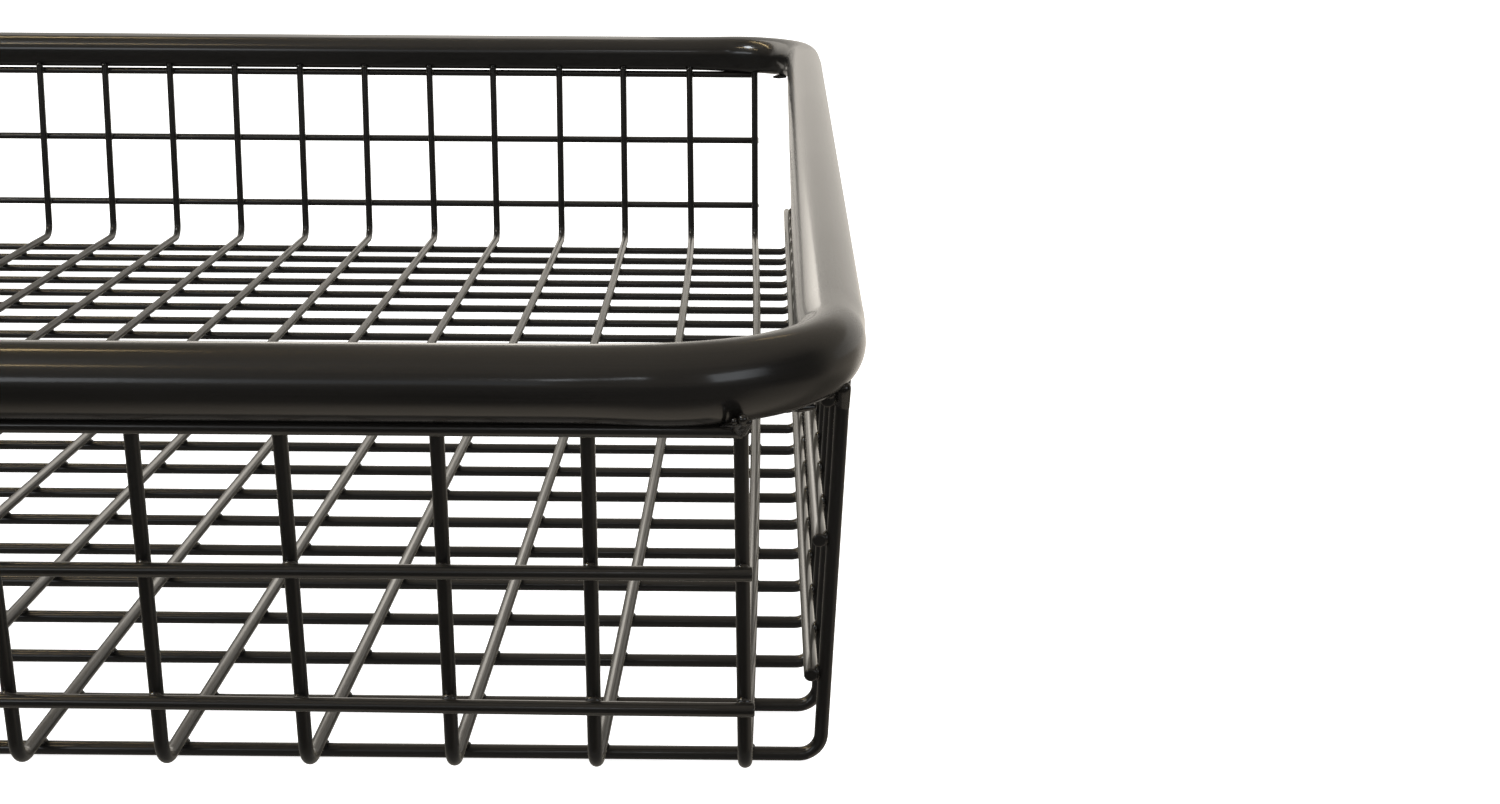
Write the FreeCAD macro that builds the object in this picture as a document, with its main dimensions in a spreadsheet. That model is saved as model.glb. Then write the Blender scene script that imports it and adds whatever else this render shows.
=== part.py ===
# A welded wire basket that drops into a drawer: a cross-shaped sheet of welded mesh, folded up into a
# tray with leaning walls, under a rim of bent round tube. Millimetres, +Z up, origin on the floor under
# the middle of the basket. X runs across the drawer and Y runs from its front to its back.
import FreeCAD
import Part

import math
import os

import Sketcher

DRIVING = {
    "wire_dia": 2.5,
    "cell_x": 25.0,  # pitch of the cross wires, which run from front to back
    "cell_y": 20.2,  # pitch of the long wires, which run from side to side
    "wall_half_width": 263.75,  # middle to the foot of a side wall, wire centre
    "wall_half_depth": 233.5,  # middle to the foot of the front or back wall, wire centre
    "end_lean": 5.3,  # degrees that the front and back walls lean out
    "side_lean": 2.6,  # degrees that the side walls lean out
    "cross_bend": 5.0,  # centreline radius where a cross wire turns up
    "long_bend": 4.0,  # centreline radius where a long wire turns up
    "rim_dia": 12.7,
    "rim_wall": 1.2,
    "rim_bend": 30.0,
    "rim_half_width": 265.3,
    "rim_half_depth": 242.8,
    "rim_height": 74.15,
    "seam_place": 10.1,  # where the rim's ends meet on the left arm, clear of the wires below
    "seam_gap": 0.6,
    "bead_half_width": 1.7,
    "bead_crown": 0.2,
    "rail_drop": 0.3,  # air between the rim and the top rails below it
    "rail_pitch": 25.0,
    "rail_overhang": 1.6,  # how far a rail runs past the centre of the last upright
    "rail_end_round": 0.35,
    "corner_bead_dia": 5.0,
}
CROSS_WIRES = 21
LONG_WIRES = 23
RAIL_LEVELS = ("bottom", "middle", "top")

doc = FreeCAD.newDocument("wire_basket")
sheet = doc.addObject("Spreadsheet::Sheet", "Sizes")
for row, (alias, value) in enumerate(DRIVING.items(), start=1):
    sheet.set(f"A{row}", alias)
    sheet.set(f"B{row}", str(value))
    sheet.setAlias(f"B{row}", alias)
doc.recompute()

# Places worked out from the driving sizes, as expressions that the document keeps.
CROSS_Z = "(1.5 * Sizes.wire_dia)"
LONG_Z = "(0.5 * Sizes.wire_dia)"
WIRE_TOP_Z = "(Sizes.rim_height - 0.1 * Sizes.rim_dia)"
TOP_RAIL_Z = "(Sizes.rim_height - 0.5 * (Sizes.rim_dia + Sizes.wire_dia) - Sizes.rail_drop)"


def number(expression):
    """The value of an expression over the sheet."""
    result = sheet.evalExpression(expression.replace("Sizes.", ""))
    return float(getattr(result, "Value", result))


def origin_plane(body, role):
    return next(feature for feature in body.Origin.OriginFeatures if feature.Role == role)


def new_body(label):
    body = doc.addObject("PartDesign::Body", label.replace("-", "_"))
    body.Label = label
    return body


def new_sketch(body, name, role):
    sketch = body.newObject("Sketcher::SketchObject", name)
    sketch.AttachmentSupport = [(origin_plane(body, role), "")]
    sketch.MapMode = "FlatFace"
    return sketch


def vector(x, y, z=0.0):
    return FreeCAD.Vector(x, y, z)


def size(sketch, kind, *where, to):
    """Adds a dimension to a sketch and binds it to an expression."""
    value = number(to)
    if kind == "Angle":
        value = math.radians(value)
    index = sketch.addConstraint(Sketcher.Constraint(kind, *where, value))
    unit = " * 1 deg" if kind == "Angle" else " * 1 mm"
    sketch.setExpression(f"Constraints[{index}]", f"({to}){unit}")


def join_tangent(sketch, count):
    """Joins each piece of a chain to the next, end to start, with no corner."""
    for index in range(count - 1):
        sketch.addConstraint(Sketcher.Constraint("Tangent", index, 2, index + 1, 1))


def bent_wire(label, role, half_base, floor_z, lean, bend):
    """A wire that runs along the floor and turns up both walls, drawn on the plane named by role."""
    body = new_body(label)
    spine = new_sketch(body, "Spine_" + label, role)
    angle, radius = math.radians(number(lean)), number(bend)
    low, top = number(floor_z), number(WIRE_TOP_Z)
    flat = f"({half_base} - {bend} * tan((90 - {lean}) / 2 * 1 deg))"
    foot = number(flat)
    knee_x = foot + radius * math.cos(angle)
    knee_z = low + radius * (1 - math.sin(angle))
    tip_x = knee_x + (top - knee_z) * math.tan(angle)
    left_turn = Part.Circle(vector(-foot, low + radius), vector(0, 0, 1), radius)
    right_turn = Part.Circle(vector(foot, low + radius), vector(0, 0, 1), radius)
    spine.addGeometry([
        Part.LineSegment(vector(-tip_x, top), vector(-knee_x, knee_z)),
        Part.ArcOfCircle(left_turn, math.pi + angle, 1.5 * math.pi),
        Part.LineSegment(vector(-foot, low), vector(foot, low)),
        Part.ArcOfCircle(right_turn, 1.5 * math.pi, 2 * math.pi - angle),
        Part.LineSegment(vector(knee_x, knee_z), vector(tip_x, top)),
    ])
    join_tangent(spine, 5)
    spine.addConstraint(Sketcher.Constraint("Symmetric", 2, 1, 2, 2, -2))
    spine.addConstraint(Sketcher.Constraint("Symmetric", 0, 1, 4, 2, -2))
    spine.addConstraint(Sketcher.Constraint("Equal", 1, 3))
    size(spine, "Radius", 1, to=bend)
    size(spine, "DistanceX", 2, 1, 2, 2, to=f"2 * {flat}")
    size(spine, "DistanceY", -1, 1, 2, 1, to=floor_z)
    size(spine, "DistanceY", -1, 1, 0, 1, to=WIRE_TOP_Z)
    size(spine, "Angle", 0, to=f"({lean} - 90)")
    sweep_round(body, spine, "Sizes.wire_dia")
    return body


def sweep_round(body, spine, outer, inner=None):
    """Sweeps a circle, or a ring if inner is given, along a spine of the same body."""
    profile = body.newObject("Sketcher::SketchObject", "Profile_" + body.Name)
    profile.AttachmentSupport = [(spine, "Edge1")]
    profile.MapMode = "NormalToEdge"
    for index, diameter in enumerate(d for d in (outer, inner) if d):
        profile.addGeometry(Part.Circle(vector(0, 0), vector(0, 0, 1), number(diameter) / 2))
        profile.addConstraint(Sketcher.Constraint("Coincident", index, 3, -1, 1))
        size(profile, "Diameter", index, to=diameter)
    pipe = body.newObject("PartDesign::AdditivePipe", "Pipe_" + body.Name)
    pipe.Profile = profile
    pipe.Spine = (spine, [f"Edge{n + 1}" for n in range(spine.GeometryCount)])
    body.Tip = pipe


def rim_spine(body):
    """The rim's centreline: from the seam on the left arm, round the front, and back to the seam."""
    spine = new_sketch(body, "Spine_" + body.Name, "XY_Plane")
    spine.setExpression("AttachmentOffset.Base.z", "Sizes.rim_height * 1 mm")
    wide, deep = number("Sizes.rim_half_width"), number("Sizes.rim_half_depth")
    radius, half_gap = number("Sizes.rim_bend"), number("Sizes.seam_gap") / 2
    seam = number("Sizes.seam_place")
    in_x, in_y = wide - radius, deep - radius

    def turn(x, y, start):
        circle = Part.Circle(vector(x, y), vector(0, 0, 1), radius)
        return Part.ArcOfCircle(circle, start, start + math.pi / 2)

    spine.addGeometry([
        Part.LineSegment(vector(-wide, seam - half_gap), vector(-wide, -in_y)),
        turn(-in_x, -in_y, math.pi),
        Part.LineSegment(vector(-in_x, -deep), vector(in_x, -deep)),
        turn(in_x, -in_y, 1.5 * math.pi),
        Part.LineSegment(vector(wide, -in_y), vector(wide, in_y)),
        turn(in_x, in_y, 0),
        Part.LineSegment(vector(in_x, deep), vector(-in_x, deep)),
        turn(-in_x, in_y, math.pi / 2),
        Part.LineSegment(vector(-wide, in_y), vector(-wide, seam + half_gap)),
    ])
    join_tangent(spine, 9)
    for index in (0, 4, 8):
        spine.addConstraint(Sketcher.Constraint("Vertical", index))
    for index in (2, 6):
        spine.addConstraint(Sketcher.Constraint("Horizontal", index))
    for index in (3, 5, 7):
        spine.addConstraint(Sketcher.Constraint("Equal", 1, index))
    size(spine, "Radius", 1, to="Sizes.rim_bend")
    size(spine, "DistanceX", -1, 1, 4, 1, to="Sizes.rim_half_width")
    size(spine, "DistanceX", 0, 1, -1, 1, to="Sizes.rim_half_width")
    size(spine, "DistanceX", 8, 2, -1, 1, to="Sizes.rim_half_width")
    size(spine, "DistanceY", 2, 1, -1, 1, to="Sizes.rim_half_depth")
    size(spine, "DistanceY", -1, 1, 6, 1, to="Sizes.rim_half_depth")
    size(spine, "DistanceY", -1, 1, 0, 1, to="Sizes.seam_place - Sizes.seam_gap / 2")
    size(spine, "DistanceY", -1, 1, 8, 2, to="Sizes.seam_place + Sizes.seam_gap / 2")
    return spine


def rim_tube():
    body = new_body("rim_tube")
    sweep_round(body, rim_spine(body), "Sizes.rim_dia", "(Sizes.rim_dia - 2 * Sizes.rim_wall)")
    return body


def rim_core():
    """The rim as a solid bar, which shapes the ends of the wires that are welded to it."""
    body = new_body("rim_core")
    sweep_round(body, rim_spine(body), "Sizes.rim_dia")
    return body


def rim_butt_weld():
    """The ring of weld that fills the gap between the tube's ends and stands a little proud."""
    body = new_body("rim_butt_weld")
    section = new_sketch(body, "Bead_section", "XY_Plane")
    outer, half_gap = number("Sizes.rim_dia") / 2, number("Sizes.seam_gap") / 2
    inner = outer - number("Sizes.rim_wall")
    half_bead, crown = number("Sizes.bead_half_width"), number("Sizes.bead_crown")
    section.addGeometry([
        Part.LineSegment(vector(inner, half_gap), vector(inner, -half_gap)),
        Part.LineSegment(vector(inner, -half_gap), vector(outer, -half_gap)),
        Part.LineSegment(vector(outer, -half_gap), vector(outer, -half_bead)),
        Part.Arc(vector(outer, -half_bead), vector(outer + crown, 0), vector(outer, half_bead)),
        Part.LineSegment(vector(outer, half_bead), vector(outer, half_gap)),
        Part.LineSegment(vector(outer, half_gap), vector(inner, half_gap)),
    ])
    for index in range(5):
        section.addConstraint(Sketcher.Constraint("Coincident", index, 2, index + 1, 1))
    section.addConstraint(Sketcher.Constraint("Coincident", 5, 2, 0, 1))
    for index in (2, 4):
        section.addConstraint(Sketcher.Constraint("Vertical", index))
    for index in (1, 5):
        section.addConstraint(Sketcher.Constraint("Horizontal", index))
    section.addConstraint(Sketcher.Constraint("Symmetric", 0, 1, 0, 2, -1))
    section.addConstraint(Sketcher.Constraint("Symmetric", 3, 1, 3, 2, -1))
    size(section, "DistanceX", -1, 1, 0, 1, to="Sizes.rim_dia / 2 - Sizes.rim_wall")
    size(section, "DistanceX", -1, 1, 2, 1, to="Sizes.rim_dia / 2")
    size(section, "DistanceY", 0, 2, 0, 1, to="Sizes.seam_gap")
    size(section, "DistanceY", 3, 1, 3, 2, to="2 * Sizes.bead_half_width")
    # A chord of half width b and rise c belongs to a circle of radius (b * b + c * c) / 2c.
    half, rise = "Sizes.bead_half_width", "Sizes.bead_crown"
    size(section, "Radius", 3, to=f"({half} * {half} + {rise} * {rise}) / (2 * {rise})")
    ring = body.newObject("PartDesign::Revolution", "Bead_ring")
    ring.Profile = section
    ring.ReferenceAxis = (section, ["V_Axis"])
    ring.Angle = 360
    body.Tip = ring
    place(body, "-Sizes.rim_half_width", "Sizes.seam_place", "Sizes.rim_height")
    return body


def place(obj, x, y, z):
    for axis, expression in (("x", x), ("y", y), ("z", z)):
        obj.setExpression(f".Placement.Base.{axis}", f"({expression}) * 1 mm")


def cope_to_rim(body, core):
    """The body with its ends cut to lie against the rim's surface."""
    cut = doc.addObject("Part::Cut", "Coped_" + body.Name)
    cut.Base = body
    cut.Tool = core
    label = body.Label
    body.Label = label + "_blank"
    cut.Label = label
    return cut


def cross_wires(core):
    made = []
    for index in range(CROSS_WIRES):
        body = bent_wire(
            f"cross_wire_{index + 1:02d}", "YZ_Plane", "Sizes.wall_half_depth", CROSS_Z,
            "Sizes.end_lean", "Sizes.cross_bend",
        )
        place(body, f"Sizes.cell_x * {index - (CROSS_WIRES - 1) / 2}", "0", "0")
        made.append(cope_to_rim(body, core))
    return made


def long_wires(core):
    made = []
    for index in range(LONG_WIRES):
        body = bent_wire(
            f"long_wire_{index + 1:02d}", "XZ_Plane", "Sizes.wall_half_width", LONG_Z,
            "Sizes.side_lean", "Sizes.long_bend",
        )
        place(body, "0", f"Sizes.cell_y * {index - (LONG_WIRES - 1) / 2}", "0")
        made.append(cope_to_rim(body, core))
    return made


def rail(label, role, last_wire):
    """A straight wire, centred on its plane, that ends just past the last upright it is welded to."""
    body = new_body(label)
    section = new_sketch(body, "Section_" + label, role)
    section.addGeometry(Part.Circle(vector(0, 0), vector(0, 0, 1), number("Sizes.wire_dia") / 2))
    section.addConstraint(Sketcher.Constraint("Coincident", 0, 3, -1, 1))
    size(section, "Diameter", 0, to="Sizes.wire_dia")
    rod = body.newObject("PartDesign::Pad", "Rod_" + label)
    rod.Profile = section
    rod.Midplane = True
    rod.setExpression("Length", f"2 * ({last_wire} + Sizes.rail_overhang) * 1 mm")
    body.Tip = rod
    doc.recompute()
    ends = body.newObject("PartDesign::Fillet", "Ends_" + label)
    rims = [
        f"Edge{n}" for n, edge in enumerate(rod.Shape.Edges, start=1) if isinstance(edge.Curve, Part.Circle)
    ]
    ends.Base = (rod, rims)
    ends.Radius = number("Sizes.rail_end_round")
    ends.setExpression("Radius", "Sizes.rail_end_round * 1 mm")
    body.Tip = ends
    return body


def rails():
    """Three rails on each wall: outside the uprights at front and back, inside them at the sides."""
    made = []
    last_x = f"Sizes.cell_x * {(CROSS_WIRES - 1) / 2}"
    last_y = f"Sizes.cell_y * {(LONG_WIRES - 1) / 2}"
    for level, name in enumerate(RAIL_LEVELS):
        height = f"({TOP_RAIL_Z} - {len(RAIL_LEVELS) - 1 - level} * Sizes.rail_pitch)"
        end_y = end_rail_offset(height)
        side_x = side_rail_offset(height)
        for wall, sign in (("front", "-"), ("back", "")):
            body = rail(f"{wall}_rail_{name}", "YZ_Plane", last_x)
            place(body, "0", f"{sign}{end_y}", height)
            made.append(body)
        for wall, sign in (("left", "-"), ("right", "")):
            body = rail(f"{wall}_rail_{name}", "XZ_Plane", last_y)
            place(body, f"{sign}{side_x}", "0", height)
            made.append(body)
    return made


def end_rail_offset(height):
    """How far from the middle a rail lies that touches the outside of the front or back wall."""
    rise = f"({height} - {CROSS_Z}) * tan(Sizes.end_lean * 1 deg)"
    return f"(Sizes.wall_half_depth + {rise} + Sizes.wire_dia / cos(Sizes.end_lean * 1 deg))"


def side_rail_offset(height):
    """How far from the middle a rail lies that touches the inside of a side wall."""
    rise = f"({height} - {LONG_Z}) * tan(Sizes.side_lean * 1 deg)"
    return f"(Sizes.wall_half_width + {rise} - Sizes.wire_dia / cos(Sizes.side_lean * 1 deg))"


def corner_weld_beads(core, made):
    """The beads at the corners, which join the top rails' ends to the rim where it turns away."""
    by_label = {piece.Label: piece for piece in made}
    last_x = f"Sizes.cell_x * {(CROSS_WIRES - 1) / 2}"
    last_y = f"Sizes.cell_y * {(LONG_WIRES - 1) / 2}"
    end_y = end_rail_offset(TOP_RAIL_Z)
    side_x = side_rail_offset(TOP_RAIL_Z)
    beads = []
    for side, sign_x, cross in (("left", "-", 1), ("right", "", CROSS_WIRES)):
        for end, sign_y, along in (("front", "-", 1), ("back", "", LONG_WIRES)):
            at_end = ball(sign_x + last_x, sign_y + end_y)
            at_side = ball(sign_x + side_x, sign_y + last_y)
            end_metal = (by_label[f"{end}_rail_top"], by_label[f"cross_wire_{cross:02d}"])
            side_metal = (by_label[f"{side}_rail_top"], by_label[f"long_wire_{along:02d}"])
            beads.append(cut_away(at_end, core, *end_metal))
            beads.append(cut_away(at_side, core, *side_metal))
    group = doc.addObject("Part::Compound", "Corner_beads")
    group.Links = beads
    group.Label = "corner_weld_beads"
    return group


def ball(x, y):
    sphere = doc.addObject("Part::Sphere", "Bead")
    sphere.setExpression("Radius", "Sizes.corner_bead_dia / 2 * 1 mm")
    place(sphere, x, y, f"{TOP_RAIL_Z} + 0.4 * Sizes.wire_dia")
    return sphere


def cut_away(blank, *tools):
    """The blank with each tool's room taken out of it in turn."""
    for tool in tools:
        cut = doc.addObject("Part::Cut", "Trimmed_bead")
        cut.Base = blank
        cut.Tool = tool
        blank = cut
    return blank


def main():
    core = rim_core()
    made = [rim_tube(), rim_butt_weld()]
    made += cross_wires(core)
    made += long_wires(core)
    made += rails()
    doc.recompute()
    made.append(corner_weld_beads(core, made))
    doc.recompute()
    for obj in doc.Objects:
        if "Invalid" in obj.State or "Error" in obj.State:
            raise RuntimeError(f"{obj.Label} failed: {obj.State}")
    os.makedirs("parts", exist_ok=True)
    for piece in made:
        shape = piece.Shape
        if shape.isNull() or not shape.isValid() or not shape.Solids:
            raise RuntimeError(f"{piece.Label} has no valid solid")
        shape.exportStep(os.path.join("parts", piece.Label + ".step"))


main()
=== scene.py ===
import math

import bmesh
import bpy
import numpy as np
from mathutils import Matrix, Vector


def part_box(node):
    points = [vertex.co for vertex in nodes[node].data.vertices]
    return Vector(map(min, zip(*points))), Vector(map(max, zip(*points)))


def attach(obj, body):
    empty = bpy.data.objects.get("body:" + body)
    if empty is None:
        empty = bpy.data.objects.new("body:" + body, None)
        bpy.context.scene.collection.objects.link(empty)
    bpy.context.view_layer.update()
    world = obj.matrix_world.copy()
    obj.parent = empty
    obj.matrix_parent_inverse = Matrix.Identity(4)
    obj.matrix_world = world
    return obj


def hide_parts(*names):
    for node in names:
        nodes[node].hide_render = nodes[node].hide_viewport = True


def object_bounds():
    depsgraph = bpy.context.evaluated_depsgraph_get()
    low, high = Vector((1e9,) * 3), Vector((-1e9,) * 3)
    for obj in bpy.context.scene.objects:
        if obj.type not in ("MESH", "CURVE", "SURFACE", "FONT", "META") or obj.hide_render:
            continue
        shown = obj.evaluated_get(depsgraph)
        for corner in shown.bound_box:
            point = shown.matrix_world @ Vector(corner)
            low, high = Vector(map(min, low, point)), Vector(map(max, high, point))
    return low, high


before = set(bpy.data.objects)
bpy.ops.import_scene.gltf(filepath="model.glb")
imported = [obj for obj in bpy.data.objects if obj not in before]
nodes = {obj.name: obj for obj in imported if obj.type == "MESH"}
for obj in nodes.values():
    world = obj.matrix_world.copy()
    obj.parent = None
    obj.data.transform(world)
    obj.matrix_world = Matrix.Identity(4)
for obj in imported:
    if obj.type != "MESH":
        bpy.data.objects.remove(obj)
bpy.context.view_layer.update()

rng = np.random.default_rng(11)

MM = 0.001
WIRE_SIDES = 24
TUBE_SIDES = 72
END_RINGS = 3
CROSS_BEND = 5.0 * MM
LONG_BEND = 4.0 * MM
RIM_BEND = 30.0 * MM


# ---------------------------------------------------------------- small helpers

def smooth(x, lo, hi):
    t = np.clip((np.asarray(x, float) - lo) / (hi - lo), 0.0, 1.0)
    return t * t * (3 - 2 * t)


def link(mesh, name, slot, *replaced):
    obj = bpy.data.objects.new(name, mesh)
    bpy.context.scene.collection.objects.link(obj)
    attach(obj, "root")
    if replaced:
        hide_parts(*replaced)
    return obj


def frames_along(path, closed=False):
    """Tangents and two normals at each point of a path, turned as little as the path allows."""
    path = np.asarray(path, float)
    if closed:
        tangents = np.roll(path, -1, 0) - np.roll(path, 1, 0)
    else:
        tangents = np.gradient(path, axis=0)
    tangents /= np.linalg.norm(tangents, axis=1)[:, None]
    start = np.array([0.0, 0.0, 1.0]) if abs(tangents[0][2]) < 0.9 else np.array([1.0, 0.0, 0.0])
    normal = start - tangents[0] * (start @ tangents[0])
    normal /= np.linalg.norm(normal)
    normals = [normal]
    for t in tangents[1:]:
        normal = normals[-1] - t * (normals[-1] @ t)
        normal /= np.linalg.norm(normal)
        normals.append(normal)
    normals = np.array(normals)
    return tangents, normals, np.cross(tangents, normals)


def tube_mesh(name, path, radius, sides, closed=False, shape=None, end_round=0.0):
    """A round bar along a path, with a UV map in metres: u round the bar, v along it.

    shape(along, angles) scales the radius, one row for each point of the path and one column for each angle.
    end_round is the size of the rounded edge of a cut end."""
    path = np.asarray(path, float)
    tangents, n1, n2 = frames_along(path, closed)
    angles = np.linspace(0, 2 * np.pi, sides, endpoint=False)
    rings, stations = [], []
    along = np.concatenate([[0.0], np.cumsum(np.linalg.norm(np.diff(path, axis=0), axis=1))])
    scale = np.ones((len(path), sides)) if shape is None else shape(along, angles)
    for i, p in enumerate(path):
        r = radius * scale[i]
        rings.append(p + np.outer(r * np.cos(angles), n1[i]) + np.outer(r * np.sin(angles), n2[i]))
        stations.append(along[i])
    if end_round and not closed:
        for end, sign in ((0, -1.0), (-1, 1.0)):
            cap = []
            for k in range(1, END_RINGS + 1):
                a = k / END_RINGS * math.pi / 2
                r = radius * scale[end] - end_round * (1 - math.cos(a))
                centre = path[end] + sign * tangents[end] * end_round * math.sin(a)
                cap.append(centre + np.outer(r * np.cos(angles), n1[end])
                           + np.outer(r * np.sin(angles), n2[end]))
            if end == 0:
                rings = cap[::-1] + rings
                stations = [stations[0] - end_round * k / END_RINGS for k in range(END_RINGS, 0, -1)] + stations
            else:
                rings = rings + cap
                stations = stations + [stations[-1] + end_round * k / END_RINGS for k in range(1, END_RINGS + 1)]
    verts = np.concatenate(rings)
    count = len(rings)
    faces = []
    spans = count if closed else count - 1
    for i in range(spans):
        a, b = i * sides, ((i + 1) % count) * sides
        for j in range(sides):
            k = (j + 1) % sides
            faces.append((a + j, a + k, b + k, b + j))
    if not closed:
        faces.append(tuple(range(sides - 1, -1, -1)))
        faces.append(tuple((count - 1) * sides + j for j in range(sides)))
    mesh = bpy.data.meshes.new(name)
    mesh.from_pydata([tuple(v) for v in verts], [], faces)
    mesh.update()
    uv = mesh.uv_layers.new(name="along")
    around = 2 * math.pi * radius
    step = stations[1] - stations[0]
    for face in mesh.polygons:
        if len(face.vertices) != 4:
            continue
        for loop in face.loop_indices:
            v = mesh.loops[loop].vertex_index
            ring, side = divmod(v, sides)
            first_ring, first_side = divmod(face.vertices[0], sides)
            s = stations[ring]
            if closed and first_ring == count - 1 and ring == 0:
                s = stations[-1] + step
            u = side / sides if not (first_side == sides - 1 and side == 0) else 1.0
            uv.data[loop].uv = (u * around, s)
    mesh.polygons.foreach_set("use_smooth", [len(f.vertices) == 4 for f in mesh.polygons])
    return mesh


# ---------------------------------------------------------------- materials

COAT_IOR = 1.5
BODY_SPECULAR = 0.22
# Noise cells per metre: patches of gloss, orange peel and grain, and lines (round the bar, along it).
PATCH_SCALE, PEEL_SCALE, GRAIN_SCALE, LINE_STRETCH = 18.0, 520.0, 4200.0, (2600.0, 26.0, 1.0)
NOISE_LOW, NOISE_HIGH = 0.3, 0.7
LINE_HEIGHT = 0.014 * MM


def powder_coat(name, colour, rough, coat_rough, peel, grain, streak):
    """Black powder coat: a gloss skin over a rougher body, with orange peel, fine grain,
    lines along the wire and slow changes in gloss. peel and grain are heights in metres."""
    mat = bpy.data.materials.new(name)
    mat.use_nodes = True
    tree = mat.node_tree
    n, l = tree.nodes, tree.links
    bsdf = n["Principled BSDF"]
    bsdf.inputs["IOR"].default_value = COAT_IOR
    bsdf.inputs["Specular IOR Level"].default_value = BODY_SPECULAR
    bsdf.inputs["Coat Weight"].default_value = 1.0
    bsdf.inputs["Coat Roughness"].default_value = coat_rough
    bsdf.inputs["Coat IOR"].default_value = COAT_IOR
    where = n.new("ShaderNodeTexCoord")
    along = n.new("ShaderNodeUVMap")
    along.uv_map = "along"

    def noise(scale, vector, detail=2.0, roughness=0.5, stretch=None):
        if stretch is not None:
            mapping = n.new("ShaderNodeMapping")
            mapping.inputs["Scale"].default_value = stretch
            l.new(vector, mapping.inputs["Vector"])
            vector = mapping.outputs["Vector"]
        node = n.new("ShaderNodeTexNoise")
        node.inputs["Scale"].default_value = scale
        node.inputs["Detail"].default_value = detail
        node.inputs["Roughness"].default_value = roughness
        l.new(vector, node.inputs["Vector"])
        return node.outputs["Fac"]

    def spread(value, lo, hi, to_lo, to_hi):
        node = n.new("ShaderNodeMapRange")
        node.inputs["From Min"].default_value = lo
        node.inputs["From Max"].default_value = hi
        node.inputs["To Min"].default_value = to_lo
        node.inputs["To Max"].default_value = to_hi
        l.new(value, node.inputs["Value"])
        return node.outputs["Result"]

    def add(a, b):
        node = n.new("ShaderNodeMath")
        node.operation = "ADD"
        l.new(a, node.inputs[0])
        l.new(b, node.inputs[1])
        return node.outputs["Value"]

    big = noise(PATCH_SCALE, where.outputs["Object"], 3.0)
    skin = noise(PEEL_SCALE, where.outputs["Object"], 2.0, 0.55)
    fine = noise(GRAIN_SCALE, where.outputs["Object"], 1.0)
    lines = noise(1.0, along.outputs["UV"], 3.0, 0.6, stretch=LINE_STRETCH)

    rough_base = spread(big, NOISE_LOW, NOISE_HIGH, rough - 0.025, rough + 0.035)
    rough_fine = spread(fine, NOISE_LOW, NOISE_HIGH, -0.03, 0.05)
    rough_line = spread(lines, NOISE_LOW, NOISE_HIGH, -0.06 * streak, 0.08 * streak)
    l.new(add(add(rough_base, rough_fine), rough_line), bsdf.inputs["Roughness"])

    tint = n.new("ShaderNodeMix")
    tint.data_type = "RGBA"
    tint.inputs["A"].default_value = (*colour[0], 1.0)
    tint.inputs["B"].default_value = (*colour[1], 1.0)
    l.new(spread(add(big, lines), 0.75, 1.3, 0.0, 1.0), tint.inputs["Factor"])
    l.new(tint.outputs["Result"], bsdf.inputs["Base Color"])

    normal = None
    for value, height in ((skin, peel), (fine, grain), (lines, streak * LINE_HEIGHT)):
        bump = n.new("ShaderNodeBump")
        bump.inputs["Strength"].default_value = 1.0
        bump.inputs["Distance"].default_value = height
        l.new(value, bump.inputs["Height"])
        if normal is not None:
            l.new(normal, bump.inputs["Normal"])
        normal = bump.outputs["Normal"]
    l.new(normal, bsdf.inputs["Normal"])
    l.new(normal, bsdf.inputs["Coat Normal"])
    return mat


# The two ends of the black between which the coat wanders.
BLACK = ((0.0022, 0.0020, 0.0018), (0.0046, 0.0040, 0.0034))
tube_coat = powder_coat("tube_coat", BLACK, 0.38, 0.13, 0.010 * MM, 0.0022 * MM, 0.15)
wire_coat = powder_coat("wire_coat", BLACK, 0.38, 0.13, 0.008 * MM, 0.0020 * MM, 0.8)
weld_coat = powder_coat("weld_coat", BLACK, 0.24, 0.05, 0.003 * MM, 0.0004 * MM, 0.0)
for socket, value in (("Sheen Weight", 0.12), ("Sheen Roughness", 0.35), ("Sheen Tint", (1.0, 0.90, 0.70, 1))):
    wire_coat.node_tree.nodes["Principled BSDF"].inputs[socket].default_value = value
COATS = {"rim_coat": tube_coat, "wire_coat": wire_coat, "weld_coat": weld_coat}


def finish_piece(obj, slot):
    obj.data.materials.clear()
    obj.data.materials.append(COATS[slot])


# ---------------------------------------------------------------- sizes read off the frame

def middle(name, axis):
    lo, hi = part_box(name)
    return (lo[axis] + hi[axis]) / 2


cross_names = sorted(name for name in nodes if name.startswith("cross_wire_"))
long_names = sorted(name for name in nodes if name.startswith("long_wire_"))
rail_names = sorted(name for name in nodes if "_rail_" in name)
wire_r = (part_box(rail_names[0])[1].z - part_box(rail_names[0])[0].z) / 2
rim_lo, rim_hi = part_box("rim_tube")
rim_r = (rim_hi.z - rim_lo.z) / 2
rim_z = (rim_hi.z + rim_lo.z) / 2
rim_half_x = rim_hi.x - rim_r
rim_half_y = rim_hi.y - rim_r
seam_y = middle("rim_butt_weld", 1)
long_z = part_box(long_names[0])[0].z + wire_r
cross_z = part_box(cross_names[5])[0].z + wire_r
long_y = [middle(name, 1) for name in long_names]
cross_x = [middle(name, 0) for name in cross_names]


def wall_line(floor_z, names, axis):
    """The lean of a wall and the place of its foot, from a rail that touches the wall at three heights."""
    low, high = (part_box(name) for name in names)
    p0 = ((low[0][axis] + low[1][axis]) / 2, (low[0].z + low[1].z) / 2)
    p1 = ((high[0][axis] + high[1][axis]) / 2, (high[0].z + high[1].z) / 2)
    lean = math.atan2(p1[0] - p0[0], p1[1] - p0[1])
    return lean, p0[0] - (p0[1] - floor_z) * math.tan(lean)


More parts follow.
